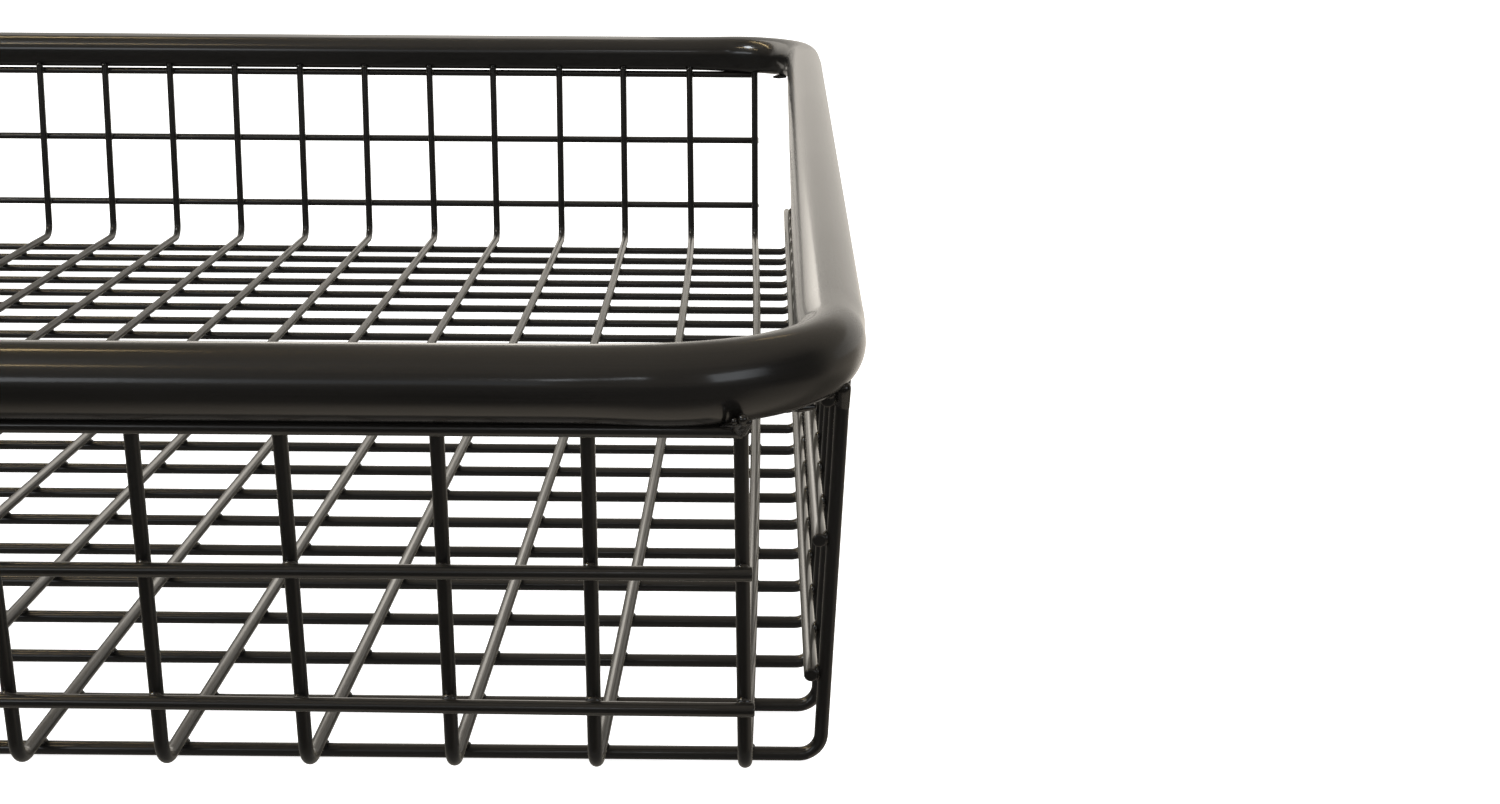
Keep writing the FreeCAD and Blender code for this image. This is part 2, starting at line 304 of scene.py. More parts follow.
end_lean, end_foot = wall_line(cross_z, ("back_rail_bottom", "back_rail_top"), 1)
side_lean, side_foot = wall_line(long_z, ("right_rail_bottom", "right_rail_top"), 0)
end_foot -= 2 * wire_r / math.cos(end_lean)
side_foot += 2 * wire_r / math.cos(side_lean)
wire_top = rim_z - 0.2 * rim_r


# ---------------------------------------------------------------- how the real thing is out of true

FRONT_DIP, BACK_DIP, DIP_REACH = 1.0 * MM, 0.5 * MM, 30 * MM
RISE, RISE_Y, RISE_REACH = 0.5 * MM, -115 * MM, 60 * MM
ARM_AT_FRONT, ARM_RUN_OUT = -0.7 * MM, 3.8 * MM


def floor_lift(y):
    """The floor isn't flat: it dips at its front and back edges and is a little high near the front."""
    dips = FRONT_DIP * np.exp(-(y + end_foot) / DIP_REACH) + BACK_DIP * np.exp(-(end_foot - y) / DIP_REACH)
    return RISE * np.exp(-((y - RISE_Y) / RISE_REACH) ** 2) - dips


def near_floor(z):
    """1 at the height of the floor, 0 well up the wall."""
    return 1 - smooth(z, 4 * MM, 24 * MM)


def arm_skew(y):
    """How far the right arm of the rim stands out of square at a place along it."""
    along = np.clip((y + rim_half_y) / (2 * rim_half_y), 0, 1)
    return ARM_AT_FRONT + ARM_RUN_OUT * along


def wall_follow(y, z):
    """The right wall is pulled out with the arm that its wires are welded to."""
    return np.maximum(arm_skew(y), -0.1 * MM) * np.clip(z / rim_z, 0, 1)


# Millimetres to the right: at the top of the front wall, its foot, the middle of the floor, the back
# wall's foot and its top. The wires not named here all bow alike.
BOWED = (0.0, 0.0, 0.9, 0.4, 0.0)
WANDER = {
    15: (0.0, -0.3, 0.6, 0.8, 0.0),
    16: (0.7, 0.0, 0.6, 0.0, -0.7),
    17: (-0.25, -0.1, 0.8, 0.2, -0.2),
    18: (0.2, 0.1, 1.1, -0.1, -0.6),
    19: (-0.25, -0.35, 1.8, 0.7, -0.2),
    20: (-0.55, 0.5, 1.2, 0.5, -0.2),
}


def wander(index, y, z, floor_z, top):
    """How far a cross wire is out of line at each of its points."""
    front_top, front_foot, middle_bow, back_foot, back_top = WANDER.get(index, BOWED)
    climb = np.clip((z - floor_z) / (top - floor_z), 0, 1)
    back = smooth(y, -end_foot, end_foot)
    foot = front_foot + (back_foot - front_foot) * back
    wall_top = np.where(y < 0, front_top, back_top)
    bow = middle_bow * (1 - np.clip(np.abs(y) / end_foot, 0, 1) ** 2.5)
    return (foot + (wall_top - foot) * climb + bow) * MM


# ---------------------------------------------------------------- wires

WALL_STEPS, BEND_STEPS, FLOOR_STEPS, RAIL_POINTS = 14, 15, 70, 60


def u_path(foot, floor_z, lean, bend, top):
    """Half-plane points (across, up) of a wire up one wall, along the floor and up the other."""
    flat = foot - bend * math.tan((math.pi / 2 - lean) / 2)
    knee = (flat + bend * math.cos(lean), floor_z + bend * (1 - math.sin(lean)))
    tip = (knee[0] + (top - knee[1]) * math.tan(lean), top)
    up = [(tip[0] + (knee[0] - tip[0]) * k / WALL_STEPS, tip[1] + (knee[1] - tip[1]) * k / WALL_STEPS)
          for k in range(WALL_STEPS)]
    arc = [
        (flat + bend * math.sin(a), floor_z + bend * (1 - math.cos(a)))
        for a in np.linspace(math.pi / 2 - lean, 0, BEND_STEPS)
    ]
    base = [(flat * (1 - 2 * k / FLOOR_STEPS), floor_z) for k in range(1, FLOOR_STEPS)]
    right = up + arc
    left = [(-x, z) for x, z in reversed(right)]
    return np.array(right + base + left)


def sway(points, amount, waves=3):
    """A slow random bow to one side along a wire, zero on average."""
    s = np.linspace(0, 1, len(points))
    out = np.zeros(len(points))
    for k in range(1, waves + 1):
        out += rng.normal(0, 1.0 / k) * np.sin(math.pi * k * s + rng.uniform(0, 2 * math.pi))
    return amount * out / waves


def cross_wire(index, name):
    half = u_path(end_foot, cross_z, end_lean, CROSS_BEND, wire_top)
    side = sway(half, 0.28 * MM)
    y, z = half[:, 0], half[:, 1]
    x = cross_x[index] + side + wander(index, y, z, cross_z, wire_top)
    path = np.column_stack([x, y, z + floor_lift(y) * near_floor(z)])
    obj = link(tube_mesh(name, path, wire_r, WIRE_SIDES), "wire_" + name, "wire_coat", name)
    finish_piece(obj, "wire_coat")
    return path


def long_wire(index, name):
    half = u_path(side_foot, long_z, side_lean, LONG_BEND, wire_top)
    side = sway(half, 0.22 * MM)
    x, z = half[:, 0], half[:, 1]
    x = x + np.where(x > 0, wall_follow(long_y[index], z), 0)
    path = np.column_stack([x, long_y[index] + side, z + floor_lift(long_y[index]) * near_floor(z)])
    obj = link(tube_mesh(name, path, wire_r, WIRE_SIDES), "wire_" + name, "wire_coat", name)
    finish_piece(obj, "wire_coat")
    return path


# The end walls' top rails are cut flush with their last uprights, and the front's bottom rail runs on a little.
RAIL_TRIM = {"front_rail_top": 1.7 * MM, "back_rail_top": 1.7 * MM, "front_rail_bottom": -0.5 * MM}


CUT_ROUNDING = 0.35 * MM


def rail(name):
    lo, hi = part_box(name)
    axis = 0 if hi.x - lo.x > hi.y - lo.y else 1
    centre = (lo + hi) / 2
    reach = (hi[axis] - lo[axis]) / 2 - CUT_ROUNDING - RAIL_TRIM.get(name, 0.0)
    s = np.linspace(-reach, reach, RAIL_POINTS)
    path = np.tile(np.array(centre), (RAIL_POINTS, 1))
    path[:, axis] = s
    path[:, 2] += sway(s, 0.12 * MM)
    # The lower two rails of the front wall sag towards the right.
    if name == "front_rail_bottom":
        path[:, 2] -= 0.6 * MM * smooth(s, 0.12, reach)
    if name == "front_rail_middle":
        path[:, 2] -= 0.5 * MM - 0.2 * MM * smooth(s, 0.0, reach)
    if name.startswith("right_"):
        path[:, 0] += wall_follow(path[:, 1], path[:, 2])
    bar = tube_mesh(name, path, wire_r, WIRE_SIDES, end_round=CUT_ROUNDING)
    obj = link(bar, "wire_" + name, "wire_coat", name)
    finish_piece(obj, "wire_coat")
    return path


cross_paths = [cross_wire(i, name) for i, name in enumerate(cross_names)]
long_paths = [long_wire(i, name) for i, name in enumerate(long_names)]
rail_paths = {name: rail(name) for name in rail_names}


# ---------------------------------------------------------------- rim

RIM_BEND_POINTS = 44


def rim_path():
    """The rim's centreline from the seam, round the front, and how far into a bend each point is."""
    in_x, in_y = rim_half_x - RIM_BEND, rim_half_y - RIM_BEND
    corners = [(-in_x, -in_y, math.pi), (in_x, -in_y, 1.5 * math.pi),
               (in_x, in_y, 0.0), (-in_x, in_y, math.pi / 2)]
    points = [(-rim_half_x, seam_y)]
    marks = []

    def run(to, step=5.0 * MM, fine=1.4 * MM, ease=26.0 * MM):
        """A straight piece, with its points closer together near its ends."""
        a = np.array(points[-1])
        b = np.array(to)
        length = np.linalg.norm(b - a)
        stations, s = [], 0.0
        while s < length:
            near_end = min(s, length - s)
            s += fine if near_end < ease else step
            stations.append(min(s, length))
        for s in stations[:-1]:
            points.append(tuple(a + (b - a) * s / length))

    for x, y, start in corners:
        entry = (x + RIM_BEND * math.cos(start), y + RIM_BEND * math.sin(start))
        run(entry)
        first = len(points)
        for a in np.linspace(start, start + math.pi / 2, RIM_BEND_POINTS):
            points.append((x + RIM_BEND * math.cos(a), y + RIM_BEND * math.sin(a)))
        marks.append((first, len(points) - 1))
    run((-rim_half_x, seam_y))
    pts = np.array(points)
    return np.column_stack([pts, np.full(len(pts), rim_z)]), marks


def skew(path):
    """The right arm isn't quite square to the front: it runs out towards the back."""
    out = path.copy()
    out[:, 0] += smooth(path[:, 0], 0.06, rim_half_x - 0.03) * arm_skew(path[:, 1])
    return out


path, bends = rim_path()
path = skew(path)


TALLER_ABOVE, TALLER_BELOW, THINNER = 0.06, 0.10, 0.060
DENT, DENT_REACH = 0.022, 7 * MM
RIDGE, RIDGE_REACH, RIDGE_OFF = 0.008, 6 * MM, 11 * MM


def rim_section(along, angles):
    """The tube is round on its straight arms, and taller and thinner where it is bent. Where a bend starts
    and ends, its outer side has a shallow dent with a ridge beside it."""
    scale = np.ones((len(along), len(angles)))
    top, out = np.cos(angles), np.sin(angles)
    for first, last in bends:
        a, b = along[first], along[last]
        bent = smooth(along, a - 14 * MM, a + 12 * MM) * (1 - smooth(along, b - 12 * MM, b + 14 * MM))
        taller = np.where(top > 0, TALLER_ABOVE, TALLER_BELOW)
        scale += np.outer(bent, taller * top ** 2 - THINNER * out ** 2)
        for place in (a - 4 * MM, b + 4 * MM):
            dent = np.exp(-((along - place) / DENT_REACH) ** 2)
            scale -= np.outer(dent, DENT * np.clip(out, 0, 1) ** 2)
            ridge_place = place + RIDGE_OFF * np.sign(place - (a + b) / 2)
            ridge = np.exp(-((along - ridge_place) / RIDGE_REACH) ** 2)
            scale += np.outer(ridge, RIDGE * np.clip(out, 0, 1) ** 2)
    return scale


rim_skin = tube_mesh("rim", path, rim_r, TUBE_SIDES, closed=True, shape=rim_section)
rim = link(rim_skin, "rim", "rim_coat", "rim_tube")
finish_piece(rim, "rim_coat")


# ---------------------------------------------------------------- welds

def blobs_mesh(name, blobs, level=2, uneven=0.05):
    """Many small lumps in one mesh. Each is (centre, three half-axes as rows)."""
    template = bmesh.new()
    bmesh.ops.create_icosphere(template, subdivisions=level, radius=1.0)
    base = np.array([v.co for v in template.verts])
    tris = [[v.index for v in f.verts] for f in template.faces]
    template.free()
    verts, faces = [], []
    for centre, axes in blobs:
        start = len(verts)
        lump = 1 + rng.normal(0, uneven, (len(base), 1))
        verts.extend(map(tuple, np.asarray(centre) + (base * lump) @ np.asarray(axes)))
        faces.extend([tuple(start + i for i in t) for t in tris])
    mesh = bpy.data.meshes.new(name)
    mesh.from_pydata(verts, [], faces)
    mesh.polygons.foreach_set("use_smooth", [True] * len(mesh.polygons))
    mesh.update()
    return mesh


def at_height(path, z, side):
    """The point of a U-shaped path at height z on the wall whose sign is side."""
    axis = 1 if np.ptp(path[:, 1]) > np.ptp(path[:, 0]) else 0
    half = path[(np.sign(path[:, axis]) == side) & (path[:, 2] > long_z)]
    order = np.argsort(half[:, 2])
    return np.array([np.interp(z, half[order, 2], half[order, k]) for k in range(3)])


def nugget(a, b, size=1.0):
    """The little weld between two crossing wires, flattened along the line between their centres."""
    across = b - a
    across /= np.linalg.norm(across)
    u = np.cross(across, [0.3, 0.5, 0.8])
    u /= np.linalg.norm(u)
    v = np.cross(across, u)
    wide = size * rng.uniform(1.25, 1.55) * MM
    axes = np.array([u * wide, v * wide * rng.uniform(0.9, 1.1), across * 0.62 * MM * size])
    return (a + b) / 2 + rng.normal(0, 0.06 * MM, 3), axes


floor_nuggets, wall_nuggets = [], []
for cross in cross_paths:
    for line in long_paths:
        on_floor = cross[(cross[:, 2] < cross_z + 2 * MM) & (np.abs(cross[:, 1]) < end_foot - 2 * MM)]
        order = np.argsort(on_floor[:, 1])
        centre = line[len(line) // 2]
        x, z = (np.interp(centre[1], on_floor[order, 1], on_floor[order, k]) for k in (0, 2))
        floor_nuggets.append(nugget(np.array([x, centre[1], z]), np.array([x, centre[1], centre[2]])))
for wall, side, paths in (("front", -1, cross_paths), ("back", 1, cross_paths),
                          ("left", -1, long_paths), ("right", 1, long_paths)):
    for level in ("bottom", "middle", "top"):
        bar = rail_paths[f"{wall}_rail_{level}"]
        z = bar[0, 2]
        along_axis = 0 if wall in ("front", "back") else 1
        for upright in paths:
            up = at_height(upright, z, side)
            on_bar = np.array([np.interp(up[along_axis], bar[:, along_axis], bar[:, k]) for k in range(3)])
            wall_nuggets.append(nugget(up, on_bar, 1.05))

for name, blobs in (("floor_weld_nuggets", floor_nuggets), ("wall_weld_nuggets", wall_nuggets)):
    obj = link(blobs_mesh(name, blobs), name, "weld_coat")
    finish_piece(obj, "weld_coat")


def remeshed(name, blobs, voxel, slot, *replaced):
    """Lumps run together into one skin, and smoothed."""
    obj = link(blobs_mesh(name, blobs, 3, 0.0), name, slot, *replaced)
    remesh = obj.modifiers.new("run_together", "REMESH")
    remesh.mode = "VOXEL"
    remesh.voxel_size = voxel
    relax = obj.modifiers.new("relax", "SMOOTH")
    relax.factor = 0.5
    relax.iterations = 10
    bpy.context.view_layer.update()
    graph = bpy.context.evaluated_depsgraph_get()
    mesh = bpy.data.meshes.new_from_object(obj.evaluated_get(graph))
    obj.modifiers.clear()
    obj.data = mesh
    mesh.polygons.foreach_set("use_smooth", [True] * len(mesh.polygons))
    finish_piece(obj, slot)


def ball(centre, radius):
    return np.asarray(centre, float), np.eye(3) * radius


def strip(a, b, r0, r1, count):
    """Lumps in a row from a to b, whose size goes from r0 to r1."""
    a, b = np.asarray(a, float), np.asarray(b, float)
    return [ball(a + (b - a) * t, r0 + (r1 - r0) * t) for t in np.linspace(0, 1, count)]


# Where the middle of the long bead is, and the sizes of the remesh and of the drops.
BEAD_X, BEAD_Y = 259.2 * MM, 230.6 * MM
SKIN_VOXEL = 0.17 * MM
DROP_R, SMALL_DROP_R = 0.85 * MM, 0.55 * MM
corner_blobs, round_drops = [], []
for side_x in (-1, 1):
    for side_y in (-1, 1):
        wide, deep, up = np.diag([side_x, side_y, 1.0]) * MM
        upright = at_height(cross_paths[-1 if side_x > 0 else 0], rim_z - rim_r, side_y)
        tip = rail_paths[("front" if side_y < 0 else "back") + "_rail_top"][-1 if side_x > 0 else 0]
        # Two drops of metal on the rim over the end of the top rail, and a web from them down to the rail.
        drop = np.array([upright[0], side_y * rim_half_y, rim_z]) + 5.1 * deep - 4.2 * up + 0.4 * wide
        small_drop = drop - 1.35 * wide - 0.35 * up
        round_drops += [ball(drop, DROP_R), ball(small_drop, SMALL_DROP_R)]
        corner_blobs += strip(drop + 0.9 * wide - 0.6 * deep - 0.6 * up, tip + 0.3 * deep + 0.2 * up,
                              0.70 * MM, 1.20 * MM, 14)
        corner_blobs += strip(drop - 0.4 * deep - 0.6 * up, tip - 1.0 * wide + 0.2 * deep + 0.7 * up,
                              0.75 * MM, 1.05 * MM, 12)
        corner_blobs += strip(small_drop - 0.5 * deep - 0.7 * up, tip - 3.5 * wide + 0.9 * up,
                              0.50 * MM, 0.35 * MM, 12)
        # A long bead under the bend, where it turns away from the end rail.
        under = np.array([side_x * BEAD_X, side_y * BEAD_Y, rim_z - 1.15 * rim_r])
        corner_blobs += strip(under - 2.0 * wide - 0.5 * deep, under + 0.1 * up, 0.50 * MM, 0.85 * MM, 12)
        corner_blobs += strip(under + 0.1 * up, under + 2.4 * wide - 0.6 * deep + 0.1 * up, 0.85 * MM, 0.50 * MM, 12)
        # The side rail's end, and a web from the first upright of the side wall up to the rim.
        side_tip = rail_paths[("left" if side_x < 0 else "right") + "_rail_top"][-1 if side_y > 0 else 0]
        corner_blobs += strip(side_tip + 0.9 * up - 0.5 * deep, side_tip + 1.5 * up + 2.0 * deep + 0.3 * wide,
                              1.00 * MM, 0.80 * MM, 10)
        joint = at_height(long_paths[0 if side_y < 0 else -1], rim_z - rim_r, side_x)
        corner_blobs += strip(joint - 3.0 * up, joint + 0.6 * up + 1.3 * deep, 1.20 * MM, 1.35 * MM, 14)
        corner_blobs += strip(joint + 0.2 * up, joint + 0.9 * up - 2.4 * wide, 1.10 * MM, 0.60 * MM, 10)

remeshed("corner_weld_drops", corner_blobs, SKIN_VOXEL, "weld_coat", "corner_weld_beads")
drops = link(blobs_mesh("corner_round_drops", round_drops, 3, 0.0), "corner_round_drops", "weld_coat")
finish_piece(drops, "weld_coat")

# Where each upright runs into the underside of the rim there is a small collar of weld.
COLLAR_HALF_AXES = (1.5 * MM, 1.5 * MM, 0.9 * MM)
collars = []
for paths, axis in ((cross_paths, 1), (long_paths, 0)):
    for upright in paths:
        for side in (-1, 1):
            foot = at_height(upright, rim_z - rim_r * 0.86, side)
            toward = np.zeros(3)
            toward[axis] = side
            collars.append((foot - 0.3 * MM * toward, np.diag(COLLAR_HALF_AXES)))
collar_obj = link(blobs_mesh("upright_weld_collars", collars), "upright_weld_collars", "weld_coat")
finish_piece(collar_obj, "weld_coat")


SEAM_TURNS, SEAM_ROWS, SEAM_RIPPLES = 120, 13, 34
SEAM_CROWN, SEAM_SUNK, SEAM_WALL = 0.24 * MM, 0.05 * MM, 0.6 * MM
RIPPLE_HEIGHT, RIPPLE_SHIFT, SEAM_DRIFT = 0.05 * MM, 0.3 * MM, 0.25 * MM


def seam_ring():
    """The butt weld: overlapping ripples laid round the tube, ground a little."""
    turns, wide = SEAM_TURNS, SEAM_ROWS
    verts, faces = [], []
    half = (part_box("rim_butt_weld")[1].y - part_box("rim_butt_weld")[0].y) / 2
    for i in range(turns):
        a = 2 * math.pi * i / turns
        wave = math.sin(a * SEAM_RIPPLES)
        drift = SEAM_DRIFT * math.sin(a * 3 + 1)
        for j in range(wide):
            t = -1 + 2 * j / (wide - 1)
            ripple = RIPPLE_HEIGHT * wave if abs(t) < 0.8 else 0
            r = rim_r + SEAM_CROWN * (1 - t * t) + ripple - SEAM_SUNK
            y = seam_y + half * t + drift + RIPPLE_SHIFT * wave * (1 - t * t)
            verts.append((-rim_half_x + r * math.cos(a), y, rim_z + r * math.sin(a)))
    for i in range(turns):
        for j in range(wide - 1):
            a, b = i * wide + j, ((i + 1) % turns) * wide + j
            faces.append((a, a + 1, b + 1, b))
    # The ring is closed by a wall inside the tube, so that it is a solid.
    inner = len(verts)
    for i in range(turns):
        a = 2 * math.pi * i / turns
        for t in (-1, 1):
            r = rim_r - SEAM_WALL
            verts.append((-rim_half_x + r * math.cos(a), seam_y + half * t, rim_z + r * math.sin(a)))
    for i in range(turns):
        k = (i + 1) % turns
        lo_a, hi_a = inner + 2 * i, inner + 2 * i + 1
        lo_b, hi_b = inner + 2 * k, inner + 2 * k + 1
        faces.append((lo_a, lo_b, hi_b, hi_a))
        faces.append((i * wide, k * wide, lo_b, lo_a))
        faces.append((hi_a, hi_b, k * wide + wide - 1, i * wide + wide - 1))
    mesh = bpy.data.meshes.new("rim_seam")
    mesh.from_pydata(verts, [], faces)
    mesh.polygons.foreach_set("use_smooth", [True] * len(mesh.polygons))
    mesh.update()
    return mesh


seam = link(seam_ring(), "rim_seam", "weld_coat", "rim_butt_weld")
finish_piece(seam, "weld_coat")


# ---------------------------------------------------------------- floor, light and camera

def plain_material(name, colour, rough, own_light):
    mat = bpy.data.materials.new(name)
    mat.use_nodes = True
    bsdf = mat.node_tree.nodes["Principled BSDF"]
    bsdf.inputs["Base Color"].default_value = (*colour, 1)
    bsdf.inputs["Roughness"].default_value = rough
    bsdf.inputs["Emission Color"].default_value = (1, 1, 1, 1)
    bsdf.inputs["Emission Strength"].default_value = own_light
    return mat


def sheet(name, corners, mat):
    mesh = bpy.data.meshes.new(name)
    mesh.from_pydata(corners, [], [(0, 1, 2, 3)])
    mesh.update()
    obj = bpy.data.objects.new(name, mesh)
    bpy.context.scene.collection.objects.link(obj)
    obj.data.materials.append(mat)
    return obj


def glow(name, colour, *fades):
    """Light from a card: the product of its fades. Each is an axis, a place and the level before it, then a
    place and the level after it."""
    mat = bpy.data.materials.new(name)
    mat.use_nodes = True
    nt = mat.node_tree
    nt.nodes.clear()
    out = nt.nodes.new("ShaderNodeOutputMaterial")
    emit = nt.nodes.new("ShaderNodeEmission")
    emit.inputs["Color"].default_value = (*colour, 1)
    where = nt.nodes.new("ShaderNodeTexCoord")
    split = nt.nodes.new("ShaderNodeSeparateXYZ")
    nt.links.new(where.outputs["Object"], split.inputs["Vector"])
    strength = None
    for axis, start, before, end, after in fades:
        ramp = nt.nodes.new("ShaderNodeMapRange")
        ramp.interpolation_type = "SMOOTHSTEP"
        for socket, value in (("From Min", start), ("From Max", end), ("To Min", before), ("To Max", after)):
            ramp.inputs[socket].default_value = value
        nt.links.new(split.outputs[axis], ramp.inputs["Value"])
        level = ramp.outputs["Result"]
        if strength is not None:
            product = nt.nodes.new("ShaderNodeMath")
            product.operation = "MULTIPLY"
            nt.links.new(strength, product.inputs[0])
            nt.links.new(level, product.inputs[1])
            level = product.outputs["Value"]
        strength = level
    nt.links.new(strength, emit.inputs["Strength"])
    nt.links.new(emit.outputs["Emission"], out.inputs["Surface"])
    return mat


def only_reflected(obj):
    """Seen in the gloss of the coat and nowhere else."""
    obj.visible_camera = False
    obj.visible_diffuse = False
    obj.visible_shadow = False
    obj.visible_transmission = False
    obj.visible_volume_scatter = False


FAR = 6.0
floor_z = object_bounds()[0].z - 0.01 * MM
floor = sheet("floor", [(-FAR, -FAR, floor_z), (FAR, -FAR, floor_z), (FAR, FAR, floor_z), (-FAR, FAR, floor_z)],
              plain_material("floor_white", (0.86, 0.86, 0.855), 0.9, 0.85))
# The coat sees floor_inside and the world's own light below it instead.
floor.visible_glossy = False


def card(name, centre, size, target, mat):
    centre, target = Vector(centre), Vector(target)
    facing = (target - centre).to_track_quat("Z", "Y").to_matrix()
    half_w, half_h = size[0] / 2, size[1] / 2
    corners = [centre + facing @ Vector((x * half_w, y * half_h, 0))
               for x, y in ((-1, -1), (1, -1), (1, 1), (-1, 1))]
    obj = sheet(name, [tuple(c) for c in corners], mat)
    only_reflected(obj)
    return obj


def on_arc(distance, elevation, x):
    """A place over or behind the basket: elevation 0 is level in front of it, 90 overhead, 180 level behind."""
    a = math.radians(elevation)
    return (x, -distance * math.cos(a), distance * math.sin(a))


HUB_Z = 0.07
DAYLIGHT = (0.90, 0.95, 1.0)
LAMP = (1.0, 0.74, 0.38)
PALE_WALL = (1.0, 0.94, 0.85)
for name, elevation, distance, x, size, colour, fade in (
        ("window_left", 15, 2.6, -1.6, (3.2, 0.46), DAYLIGHT, ("X", -0.80, 2.4, -0.36, 0.5)),
        ("window_slim", 24, 2.6, 0.08, (0.22, 0.20), DAYLIGHT, ("X", 0.10, 3.6, 0.20, 0.0)),
        ("lamp_strip_front", 52, 2.2, -1.7, (2.6, 0.05), LAMP, ("X", -0.68, 22.0, -0.40, 0.0)),
        ("lamp_strip_back", 104, 2.2, -1.7, (2.6, 0.07), LAMP, ("X", -0.74, 26.0, -0.40, 0.0)),
        ("lamp_strip_right", 134, 2.2, 0.75, (0.30, 0.05), LAMP, ("X", 0.70, 5.0, 0.95, 0.0))):
    card(name, on_arc(distance, elevation, x), size, (x, 0, HUB_Z), glow(name, colour, fade))
card("window_right", (2.0, -1.75, 0.72), (1.40, 0.80), (0.1, 0, HUB_Z),
     glow("window_right", DAYLIGHT, ("X", 1.9, 1.7, 2.7, 0.0)))
# Too far to the side for the straight rim and wires to show it: only the welds and the rim's bends do.
card("lamp_small", (-1.1, -0.9, 1.6), (0.45, 0.45), (0.25, -0.24, HUB_Z),
     glow("lamp_small", DAYLIGHT, ("X", 0.0, 20.0, 1.0, 20.0)))
# A wall close behind the basket, bright at its top, which lights the top of the rim. Its part to the right of
# BACKDROP_SPLIT is the same at every height.
BACKDROP_Y, BACKDROP_HALF, BACKDROP_TOP, BACKDROP_SPLIT = 0.33, 1.5, 0.27, 0.205
LEFT_FADES = (("Z", 0.22, 2.6, 0.08, 0.7), ("X", 0.12, 1.0, -0.15, 0.35))
RIGHT_FADES = (("X", 0.30, 0.75, 1.2, 0.35),)
for name, left, end, fades in (("backdrop_left", -BACKDROP_HALF, BACKDROP_SPLIT, LEFT_FADES),
                               ("backdrop_right", BACKDROP_SPLIT, BACKDROP_HALF, RIGHT_FADES)):
    backdrop = sheet(name, [(left, BACKDROP_Y, floor_z), (end, BACKDROP_Y, floor_z),
                            (end, BACKDROP_Y, BACKDROP_TOP), (left, BACKDROP_Y, BACKDROP_TOP)],
                     glow(name, PALE_WALL, *fades))
    only_reflected(backdrop)
# The floor inside and behind the basket, as the coat sees it, in its shade.
INSIDE_X, INSIDE_FRONT, INSIDE_BACK, INSIDE_LEVEL = 0.262, -0.240, 0.29, 0.12
inside = sheet("floor_inside", [(-INSIDE_X, INSIDE_FRONT, floor_z), (INSIDE_X, INSIDE_FRONT, floor_z),
                                (INSIDE_X, INSIDE_BACK, floor_z), (-INSIDE_X, INSIDE_BACK, floor_z)],
               glow("floor_inside", PALE_WALL, ("X", -1.0, INSIDE_LEVEL, 1.0, INSIDE_LEVEL)))
only_reflected(inside)

world = bpy.data.worlds.new("studio")
bpy.context.scene.world = world
world.use_nodes = True
nt = world.node_tree
nt.nodes.clear()
out = nt.nodes.new("ShaderNodeOutputWorld")
coord = nt.nodes.new("ShaderNodeTexCoord")
sep = nt.nodes.new("ShaderNodeSeparateXYZ")
nt.links.new(coord.outputs["Generated"], sep.inputs["Vector"])


def world_mix(factor, a, b):
    node = nt.nodes.new("ShaderNodeMix")
    node.data_type = "RGBA"
    nt.links.new(factor, node.inputs["Factor"])
    for socket, value in ((node.inputs["A"], a), (node.inputs["B"], b)):
        if isinstance(value, tuple):
            socket.default_value = (*value, 1)
        else:
            nt.links.new(value, socket)
    return node.outputs["Result"]


def world_facing(axis, sign, lo, hi):
    """0 to 1 as the direction looked in turns towards the axis, or away from it where sign is -1."""
    flip = nt.nodes.new("ShaderNodeMath")
    flip.operation = "MULTIPLY"
    flip.inputs[1].default_value = sign
    nt.links.new(sep.outputs[axis], flip.inputs[0])
    step = nt.nodes.new("ShaderNodeMapRange")
    step.interpolation_type = "SMOOTHSTEP"
    step.inputs["From Min"].default_value = lo
    step.inputs["From Max"].default_value = hi
    nt.links.new(flip.outputs["Value"], step.inputs["Value"])
    return step.outputs["Result"]


def by_height(tint, *levels):
    """A brightness for each height of the direction looked in, from -1 straight down to 1 straight up."""
    span = nt.nodes.new("ShaderNodeMapRange")
    span.inputs["From Min"].default_value = -1.0
    span.inputs["From Max"].default_value = 1.0
    nt.links.new(sep.outputs["Z"], span.inputs["Value"])
    ramp = nt.nodes.new("ShaderNodeValToRGB")
    elements = ramp.color_ramp.elements
    while len(elements) < len(levels):
        elements.new(0.5)
    for element, (z, level) in zip(elements, levels):
        element.position = (z + 1) / 2
        element.color = (*(level * part for part in tint), 1)
    nt.links.new(span.outputs["Result"], ramp.inputs["Fac"])
    return ramp.outputs["Color"]


# What the coat reflects: a warm room, dark to the front and low at the sides, with a pale ceiling,
# a pale floor straight below and a bright wall behind the basket.
WARM = (1.0, 0.88, 0.72)
PALE = (1.0, 0.92, 0.81)
in_front = by_height(WARM, (-1.0, 0.55), (-0.94, 0.50), (-0.80, 0.16), (-0.66, 0.05), (-0.15, 0.05),
                     (0.0, 0.08), (0.12, 0.21), (0.40, 0.21), (0.60, 0.24), (0.75, 0.34), (1.0, 0.36))
to_left = by_height(WARM, (-1.0, 0.45), (-0.80, 0.14), (-0.66, 0.05), (-0.15, 0.05), (0.0, 0.08),
                    (0.12, 0.15), (0.40, 0.15), (1.0, 0.18))
at_side = by_height(WARM, (-1.0, 0.55), (-0.80, 0.45), (-0.50, 0.30), (-0.38, 0.25), (-0.26, 0.04),
                    (0.40, 0.04), (0.58, 0.20), (0.75, 0.36), (1.0, 0.42))
leaning_back = by_height(WARM, (-1.0, 0.20), (-0.85, 0.08), (-0.45, 0.12), (-0.30, 0.30), (0.30, 0.26),
                         (0.60, 0.30), (1.0, 0.46))
at_back = by_height(PALE, (-1.0, 0.10), (-0.55, 0.12), (-0.30, 0.90), (0.0, 0.85), (0.30, 0.70),
                    (0.45, 0.45), (1.0, 0.40))
room = world_mix(world_facing("Y", -1, 0.30, 0.70), at_side, in_front)
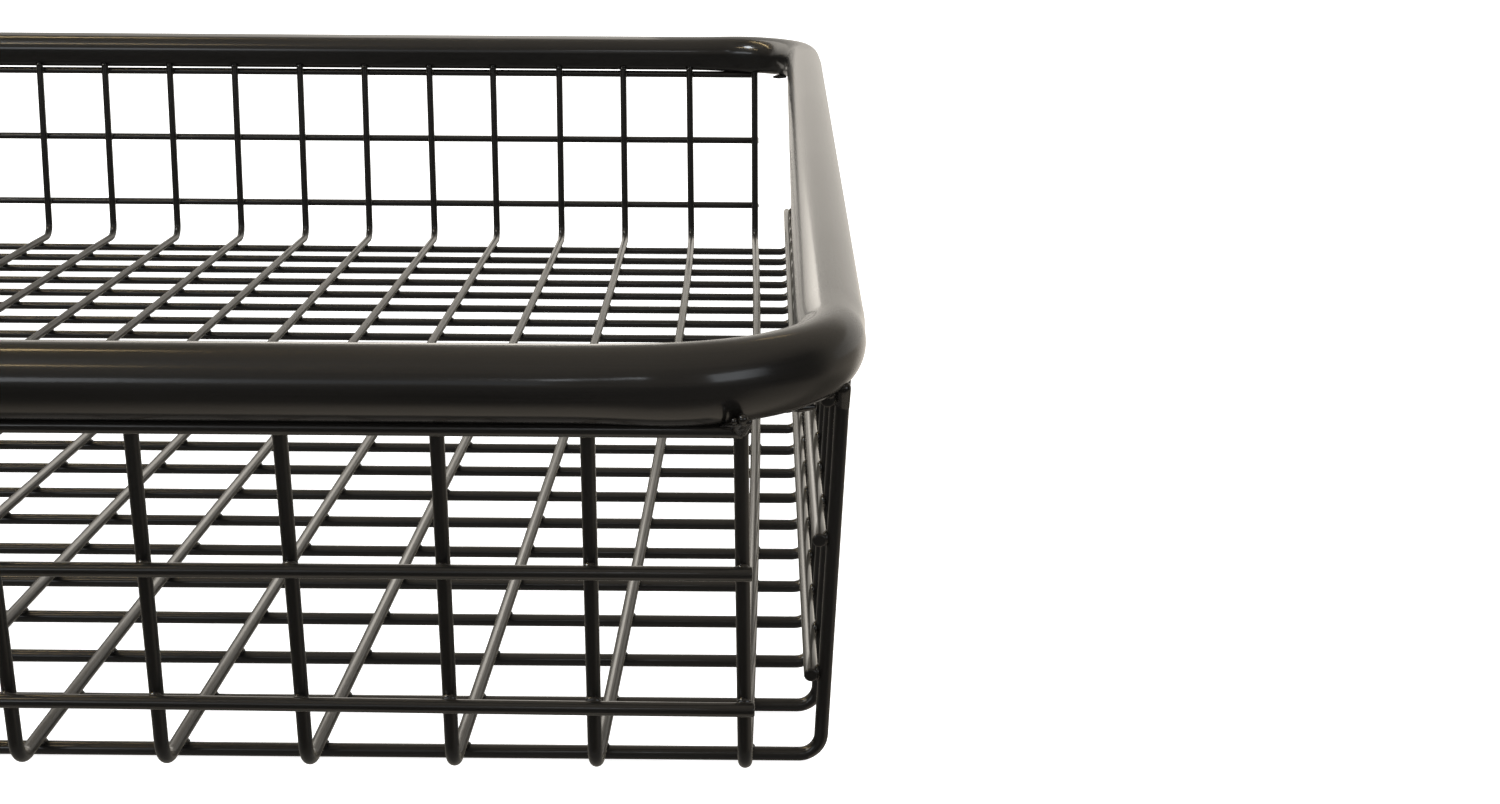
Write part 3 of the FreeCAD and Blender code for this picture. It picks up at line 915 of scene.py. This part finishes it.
room = world_mix(world_facing("Y", 1, 0.10, 0.45), room, leaning_back)
room = world_mix(world_facing("X", -1, 0.14, 0.32), room, to_left)
seen_in_coat = world_mix(world_facing("Y", 1, 0.70, 0.92), room, at_back)
light_path = nt.nodes.new("ShaderNodeLightPath")
colour = world_mix(light_path.outputs["Is Glossy Ray"], (1.0, 1.0, 1.0), seen_in_coat)
background = nt.nodes.new("ShaderNodeBackground")
nt.links.new(colour, background.inputs["Color"])
nt.links.new(background.outputs["Background"], out.inputs["Surface"])


def area_light(name, place, target, size, power):
    data = bpy.data.lights.new(name, "AREA")
    data.shape = "RECTANGLE"
    data.size, data.size_y = size
    data.energy = power
    obj = bpy.data.objects.new(name, data)
    bpy.context.scene.collection.objects.link(obj)
    obj.location = place
    obj.rotation_mode = "QUATERNION"
    obj.rotation_quaternion = (Vector(target) - Vector(place)).to_track_quat("-Z", "Y")
    obj.visible_camera = False
    obj.visible_glossy = False
    return obj


area_light("overhead", (0, 0.2, 2.6), (0, 0, 0), (3.5, 3.5), 20.0)

# The camera stands in front of the right-hand end, a little over the basket, and looks slightly down.
FOCAL_IN_WIDTHS = 2071.4 / 1500
SENSOR_MM = 36
CAMERA_PLACE = (0.25243, -0.56052, 0.16046)
yaw, pitch, roll = 0.00448, 0.27356, 0.00613
forward = Vector((-math.sin(yaw) * math.cos(pitch), math.cos(yaw) * math.cos(pitch), -math.sin(pitch)))
right = Vector((math.cos(yaw), math.sin(yaw), 0))
upward = right.cross(forward)
cam_x = math.cos(roll) * right + math.sin(roll) * upward
cam_y = -math.sin(roll) * right + math.cos(roll) * upward
camera_data = bpy.data.cameras.new("camera")
camera_data.sensor_width = SENSOR_MM
camera_data.lens = SENSOR_MM * FOCAL_IN_WIDTHS
camera_data.clip_start = 0.01
camera_data.clip_end = 50
camera = bpy.data.objects.new("camera", camera_data)
bpy.context.scene.collection.objects.link(camera)
turn = Matrix((cam_x, cam_y, -forward)).transposed()
camera.matrix_world = Matrix.Translation(CAMERA_PLACE) @ turn.to_4x4()
bpy.context.scene.camera = camera

view = bpy.context.scene.view_settings
view.view_transform = "Standard"
view.look = "None"
view.exposure = 0.0
